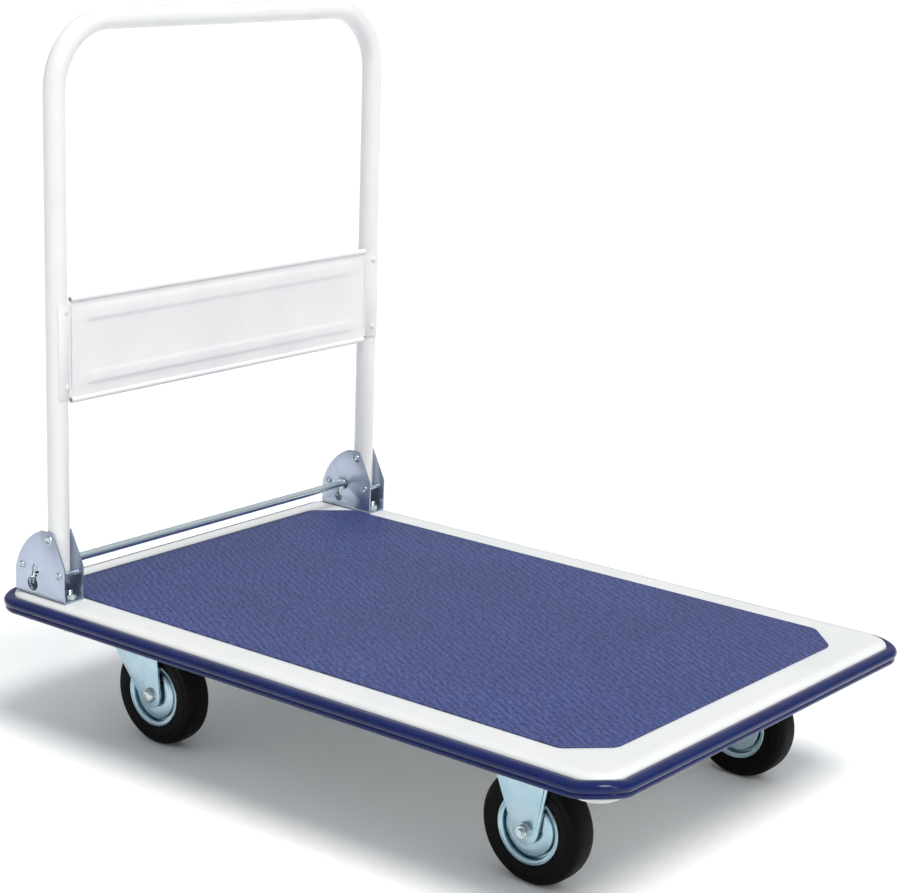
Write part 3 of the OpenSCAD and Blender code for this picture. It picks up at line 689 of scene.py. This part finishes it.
def make_spring(name):
    """Coil spring of round wire, squeezed when the rod is pressed down."""
    low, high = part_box(name)
    foot = Vector(((low.x + high.x) / 2, (low.y + high.y) / 2, low.z))
    wire, turns = 0.85, 6
    r = 5.6
    rise = (high.z - low.z) * 1000 - 2 * wire
    coil = trace([at(r + a, 0, b + wire) for a, b in arc(0, 0, wire, 0, 315, 7)],
                 fill=False)
    work(coil, "SCREW", axis="Z", angle=math.tau, iterations=turns, steps=20,
         render_steps=20, screw_offset=rise * 0.001 / turns)
    clean(coil)
    open_mesh(coil)
    pick(coil, "EDGE", lambda e: e.is_boundary)
    bpy.ops.mesh.edge_face_add()
    shut_mesh()
    coil.location = foot
    hold(coil)
    bpy.ops.object.transform_apply(location=True, rotation=True, scale=True)
    fit(coil, "coiled_" + name, [name], spring_wire, 60)
    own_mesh(coil)


make_release()
for name in ("spring_left", "spring_right"):
    make_spring(name)


# ---- Handle ----

def round_tube_ends(tube, x, low, reach):
    """Lifts the cut ends' corners to a circle round the pivot, so that they clear the rod."""
    def off(v):
        return round(abs(v.co.x * 1000 - x), 2)

    ends = {off(v) for v in tube.data.vertices if v.co.z * 1000 < low + 1}
    open_mesh(tube)
    for here in sorted(ends):
        pick(tube, "VERT", lambda v: v.co.z * 1000 < low + 1 and off(v) == here)
        bpy.ops.transform.translate(value=at(0, 0, reach - math.sqrt(reach ** 2 - here ** 2)))
    shut_mesh()


def make_tube():
    """Bent tube: up one side, over the crossbar and down the other."""
    bend, top, reach, foot = 80.0, 848.0, 41.0, 20
    x, low = PIVOT[0], PIVOT[1] - reach
    straight = top - bend - low - foot
    bpy.ops.object.select_all(action="DESELECT")
    bpy.ops.mesh.primitive_circle_add(vertices=48, radius=TUBE_R * 0.001,
                                      location=at(x, -HINGE_Y, low))
    tube = bpy.context.object
    bpy.ops.object.transform_apply(location=True, rotation=True, scale=True)
    way = (1, 0, 0)
    carry(tube, [(at(0, 0, foot),), (at(0, 0, straight),),
                 (at(x, -HINGE_Y + bend, top - bend), way, 24),
                 (at(0, 2 * (HINGE_Y - bend), 0),),
                 (at(x, HINGE_Y - bend, top - bend), way, 24),
                 (at(0, 0, -straight),), (at(0, 0, -foot),)])
    work(tube, "SOLIDIFY", thickness=TUBE_WALL * 0.001, offset=-1)
    round_tube_ends(tube, x, low, reach)
    return fit(tube, "bent_handle_tube", ["handle_tube"], tube_coat, 60)


def panel_sheet(face, end, t):
    """The panel's sheet: two ribs that fade before its ends, and two rolled edges."""
    z0, z1 = PANEL_Z
    x, r = face - t, 3.5

    def rib(z, half):
        """A rib's points from below: where each lies in its half width, and its rise."""
        rise = [(-1.0, 0), (-0.82, 0.3), (-0.66, 1.1), (-0.5, 1.75), (-0.32, 2.0),
                (0.32, 2.0), (0.5, 1.75), (0.66, 1.1), (0.82, 0.3), (1.0, 0)]
        return [(face + high, z + half * share) for share, high in rise]

    line = arc(x, z0 + r, r, -250, 70, 22) + rib(z0 + 26.5, 10) + rib(z1 - 22.5, 12) \
        + arc(x, z1 - r, r, -70, 250, 22)
    sheet = trace([at(a, -end, z) for a, z in line], closed=False)
    open_mesh(sheet)
    for step in (24, 8, 2 * (end - 32), 8, 24):
        bpy.ops.mesh.extrude_region_move(TRANSFORM_OT_translate={"value": at(0, step, 0)})

    def past_rib(v):
        return v.co.x * 1000 > face and abs(v.co.y) * 1000 > end - 26 \
            and z0 + 2 * r < v.co.z * 1000 < z1 - 2 * r
    pick(sheet, "VERT", past_rib)
    bpy.ops.transform.resize(value=(0, 1, 1), center_override=at(face, 0, 0))
    bpy.ops.mesh.select_all(action="SELECT")
    bpy.ops.mesh.normals_make_consistent(inside=False)
    # The field between the ribs has to face the front
    field = [f for f in bmesh.from_edit_mesh(sheet.data).faces if abs(middle(f).z - 476) < 12]
    if field[0].normal.x < 0:
        bpy.ops.mesh.flip_normals()
    shut_mesh()
    return work(sheet, "SOLIDIFY", thickness=t * 0.001, offset=-1)


def panel_flange():
    """A strip wrapped round the front of one tube, on the right side."""
    z0, z1 = PANEL_Z
    inner, outer, start, stop = TUBE_R + 0.1, TUBE_R + 1.3, 88, -34
    ring = arc(PIVOT[0], -HINGE_Y, outer, start, stop, 20) \
        + arc(PIVOT[0], -HINGE_Y, inner, stop, start, 20)
    flange = slab([at(a, b, z0 + 7) for a, b in ring], at(0, 0, z1 - z0 - 14))
    return ease(flange, 0.3, 2)


def make_panel():
    """Pressed panel: its sheet, a web across each end, and flanges round the tubes."""
    z0, z1 = PANEL_Z
    t = 1.2
    x = PIVOT[0] + PANEL_OFF
    face = x + t
    half = HINGE_Y - math.sqrt(TUBE_R ** 2 - PANEL_OFF ** 2)
    end = half - 4
    parts = [panel_sheet(face, end, t)]
    for side in (-1, 1):
        y0, y1 = sorted((side * (end - 0.5), side * (half + 0.6)))
        parts.append(side_slab([(x, z0 + 8), (face, z0 + 8), (face, z1 - 8), (x, z1 - 8)], y0, y1))
    flange = panel_flange()
    parts += [flange, twin(flange, mirror=True)]
    return fit(join(*parts), "pressed_handle_panel", ["handle_panel"], tube_coat,
               40)


def make_panel_rivets():
    """Domed blind rivets, each with the mark of its drawn pin."""
    dome = [(0, 0.75), (0.9, 0.75), (1.1, 1.25), (2.4, 1.0), (3.4, 0.55), (3.75, 0),
            (3.6, -0.3), (0, -0.3)]
    lean, out = math.radians(14), TUBE_R + 1.4
    parts = []
    for side in (-1, 1):
        for z in (PANEL_Z[0] + 21, PANEL_Z[1] - 15):
            head = turned(dome, Vector(), "Z", 28)
            head.rotation_euler = (0, math.pi / 2, -side * lean)
            head.location = at(PIVOT[0] + out * math.cos(lean),
                               side * (HINGE_Y - out * math.sin(lean)), z)
            hold(head)
            bpy.ops.object.transform_apply(location=True, rotation=True, scale=True)
            parts.append(head)
    fit(join(*parts), "panel_blind_rivets", ["panel_rivets"], tube_coat)


make_tube()
make_panel()
make_panel_rivets()


# ---- Casters ----

def wheel_centre(which):
    """The middle of a wheel, from its CAD tyre."""
    low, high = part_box(which + "_tyre")
    return (low + high) / 2


def make_tyre(which):
    """Moulded tyre: a round tread, with a step and a fine bead on each side wall."""
    half = [(37.2, 14.6), (39.9, 15.2), (40.2, 17.0), (41.2, 17.5), (50.2, 17.5),
            (50.8, 16.9), (57.2, 16.6), (57.8, 15.6), (60.2, 14.4), (62.2, 12.3),
            (63.1, 9.6), (63.5, 6.0)]
    profile = half + [(63.5, 0)] + [(r, -y) for r, y in reversed(half)]
    tyre = turned(profile, wheel_centre(which), steps=96)
    return fit(tyre, "moulded_tyre_" + which, [which + "_tyre"], rubber, 32)


def make_rim(which):
    """Pressed rim: bright outer rings, a well, and a domed disc on each side of a hub."""
    centre = wheel_centre(which)
    lip = [(33.4, 8.0), (33.5, 15.4), (34.0, 16.6), (35.2, 17.2), (36.4, 17.4),
           (37.0, 18.2), (38.0, 18.6), (39.0, 18.1), (39.4, 17.0), (39.0, 16.0),
           (37.6, 15.4), (35.4, 15.2), (34.9, 14.6), (34.8, 8.0)]
    ring = lip + [(r, -y) for r, y in reversed(lip)]
    parts = [turned(ring, centre, steps=96)]
    for s in (-1, 1):
        disc = [(11.9, 15.2), (13.5, 16.6), (17, 16.9), (23, 16.7), (27.5, 16.0),
                (30.0, 14.8), (31.0, 13.0), (31.2, 10.5), (31.2, 7.0), (29.8, 7.0),
                (29.6, 10.5), (28.2, 13.0), (23, 14.4), (12, 14.6)]
        parts.append(turned([(r, s * y) for r, y in disc], centre, steps=96))
        well = [(29.8, 8.0), (34.9, 8.0), (34.9, 7.0), (29.8, 7.0)]
        parts.append(turned([(r, s * y) for r, y in well], centre, steps=72))
    hub = [(9.1, -19), (11.2, -19), (12, -18.2), (12, 18.2), (11.2, 19), (9.1, 19)]
    parts.append(turned(hub, centre, steps=48))
    return fit(join(*parts), "pressed_rim_" + which, [which + "_rim"], zinc_blue,
               30)


def leg_outline(ax, rear, front, high, tip=16.0):
    """Side view of a fork leg, its rear edge slanting in to the rounded tip."""
    knee = (rear + 5, high - 42)
    reach = (ax - knee[0], WHEEL_R - knee[1])
    far = math.hypot(*reach)
    lean = math.atan2(reach[1], reach[0]) - math.asin(tip / far)
    run = math.sqrt(far ** 2 - tip ** 2)
    touch = (knee[0] + run * math.cos(lean), knee[1] + run * math.sin(lean))
    start = math.degrees(math.atan2(touch[1] - WHEEL_R, touch[0] - ax)) % 360
    return [(rear, high), knee] + arc(ax, WHEEL_R, tip, start, 360, 12) + [
        (front - 3, high - 42), (front, high)]


def plate_slab(x, y, z, length=105, width=85, height=3):
    """Mounting plate with round corners, its lower face at z."""
    a, b, r = length / 2, width / 2, 6
    outline = arc(x + a - r, y + b - r, r, 0, 90, 5) + arc(x - a + r, y + b - r, r, 90, 180, 5) \
        + arc(x - a + r, y - b + r, r, 180, 270, 5) + arc(x + a - r, y - b + r, r, 270, 360, 5)
    return ease(slab([at(*c, z) for c in outline], at(0, 0, height)), 0.5)


def make_swivel_fork(which):
    """Pressed fork: a sheet bent over the wheel, with a round crown for the ball race."""
    low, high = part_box(which + "_fork")
    y = (low.y + high.y) * 500
    king, top = KING[0], PLATE_Z - 7
    r, t = 8.0, LEG_T
    section = [(y - LEG_OUT, 30)] + arc(y - LEG_OUT + r, top - r, r, 180, 90, 6) \
        + arc(y + LEG_OUT - r, top - r, r, 90, 0, 6) + [(y + LEG_OUT, 30), (y + LEG_OUT - t, 30)] \
        + arc(y + LEG_OUT - r, top - r, r - t, 0, 90, 6) \
        + arc(y - LEG_OUT + r, top - r, r - t, 90, 180, 6) + [(y - LEG_OUT + t, 30)]
    fork = slab([at(king - 45, b, z) for b, z in section], at(110, 0, 0))
    outline = [(king + x, z) for x, z in leg_outline(34, -30, 49, top + 1)]
    combine(fork, side_slab(outline, y - 30, y + 30), "INTERSECT")
    bore, rim, under = 6.1, 39, top - t
    crown = turned([(bore, under), (rim - 0.8, under), (rim, under + 0.8), (rim, top - 0.8),
                    (rim - 0.8, top), (bore, top)], at(king, y, 0), "Z", 72)
    combine(fork, crown, "UNION")
    ease(fork, 0.4, 2, 40)
    return fit(fork, "swivel_fork_" + which, [which + "_fork"], zinc_blue)


def make_rigid_fork(which):
    """Two pressed legs, their front edges turned in, welded to a mounting plate."""
    low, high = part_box(which + "_fork")
    y = (low.y + high.y) * 500
    x, top, t = AXLE_X, PLATE_Z + 1, LEG_T
    outline = [(x + a, z) for a, z in leg_outline(0, -44, 29, top)]
    parts = []
    for side in (-1, 1):
        outer = y + side * LEG_OUT
        inner = outer - side * t
        leg = side_slab(outline, min(outer, inner), max(outer, inner))
        # The front edge is turned in, with its fold rounded
        front = outline[-3:]
        lip = front + [(a - 2.6, z) for a, z in reversed(front)]
        turned_in = outer - side * 4.4
        bar = side_slab(lip, min(outer, turned_in), max(outer, turned_in))
        combine(leg, bar, "UNION")

        def at_front(v):
            return any(abs(v.co.x * 1000 - a) + abs(v.co.z * 1000 - z) < 0.1 for a, z in front)

        def on_fold(e):
            upright = abs(e.verts[0].co.z - e.verts[1].co.z) > 0.02
            return upright and abs(middle(e).y - outer) < 0.1 and all(map(at_front, e.verts))
        open_mesh(leg)
        pick(leg, "EDGE", on_fold)
        bpy.ops.mesh.bevel(offset=0.0036, segments=6, affect="EDGES")
        shut_mesh()
        ease(leg, 0.35, 2, 40)
        parts.append(leg)
    parts.append(plate_slab(FRONT_PLATE[0], y, PLATE_Z))
    return fit(join(*parts), "rigid_fork_" + which, [which + "_fork"], zinc_blue)


def lay(piece, centre, out):
    """Turns a part that stands on Z at the origin so that it points out along Y."""
    piece.rotation_euler = (-out * math.pi / 2, 0, 0)
    piece.location = centre
    hold(piece)
    bpy.ops.object.transform_apply(location=True, rotation=True, scale=True)
    return piece


def make_axle(which, y_side):
    """Axle bolt with its head on one leg, and a nut with the thread's end on the other."""
    centre = wheel_centre(which)
    head_out = y_side if which.startswith("rear") else -y_side
    face = centre + at(0, head_out * LEG_OUT, 0)
    far = centre - at(0, head_out * LEG_OUT, 0)
    washer = [(4.2, 0), (8.6, 0), (9, 0.4), (9, 1.2), (8.6, 1.6), (4.2, 1.6)]
    head = [(0, 1.2), (8.2, 1.2), (8.4, 2.2), (7.4, 4.2), (5, 5.4), (3.4, 5.5), (3.0, 4.6),
            (0, 4.4)]
    bolt = [lay(turned(washer, Vector(), "Z", 32), face, head_out),
            lay(turned(head, Vector(), "Z", 32), face, head_out),
            turned([(0, -LEG_OUT), (SHANK_R, -LEG_OUT), (SHANK_R, LEG_OUT), (0, LEG_OUT)],
                   centre, steps=24),
            lay(threaded(0, 0, 0.5, 10, SHANK_R), far, -head_out)]
    fit(join(*bolt), "axle_bolt_" + which, [which + "_axle"], zinc_bolt)
    nut = [lay(turned(washer, Vector(), "Z", 32), far, -head_out),
           lay(bolt_head(0, 0, 1.5, FLATS, 5.2), far, -head_out)]
    fit(join(*nut), "axle_nut_" + which, [which + "_nut"], zinc_bolt)


def make_swivel(which):
    """Pressed dust cup round the balls of the swivel, and the plate above it."""
    low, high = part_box(which + "_race")
    centre = Vector(((low.x + high.x) / 2, (low.y + high.y) / 2, low.z))
    cup = turned([(20, 0), (31, 0), (32, 0.8), (32, 2.2), (30.4, 2.7), (30.4, 3.4),
                  (32, 3.9), (32, 6.1), (31.4, 6.7), (20, 6.7)], centre, "Z", 64)
    fit(cup, "ball_race_" + which, [which + "_race"], zinc_blue)
    plate = plate_slab(KING[0], centre.y * 1000, PLATE_Z)
    fit(plate, "top_plate_" + which, [which + "_plate"], zinc_blue)


def make_caster_bolts():
    """Sixteen bolts through the plates, each with its nut above the rail."""
    head, nut_foot, end = 5.3, 5, 14
    first = join(bolt_head(0, 0, -head, FLATS, head), threaded(0, 0, -0.5, end, SHANK_R))
    nut = bolt_head(0, 0, nut_foot, FLATS, 6.5)
    bolts, nuts = [], []
    for x, y in (KING, FRONT_PLATE):
        for side in (-1, 1):
            for i in (-40, 40):
                for j in (-30, 30):
                    place = (x + i, side * y + j, PLATE_Z)
                    bolts.append(twin(first, place))
                    nuts.append(twin(nut, place))
    for spare in (first, nut):
        bpy.data.objects.remove(spare)
    fit(join(*bolts), "caster_plate_bolts", ["caster_bolts"], zinc_bolt)
    fit(join(*nuts), "caster_plate_nuts", ["caster_nuts"], zinc_bolt)


for which in ("rear_left", "rear_right", "front_left", "front_right"):
    make_tyre(which)
    make_rim(which)
    make_axle(which, 1 if "left" in which else -1)
    if which.startswith("rear"):
        make_swivel_fork(which)
        make_swivel(which)
    else:
        make_rigid_fork(which)
make_caster_bolts()

# The plain pieces that stay as they are drawn in CAD get a real finish too
plain = {"rail": powder_coat, "channel": powder_coat, "pin": zinc_bolt,
         "spacer": bearing_steel, "bearing": bearing_steel}
for name, node in frame["nodes"].items():
    if node.hide_render:
        continue
    for word, material in plain.items():
        if word in name:
            node.data.materials.clear()
            node.data.materials.append(material)
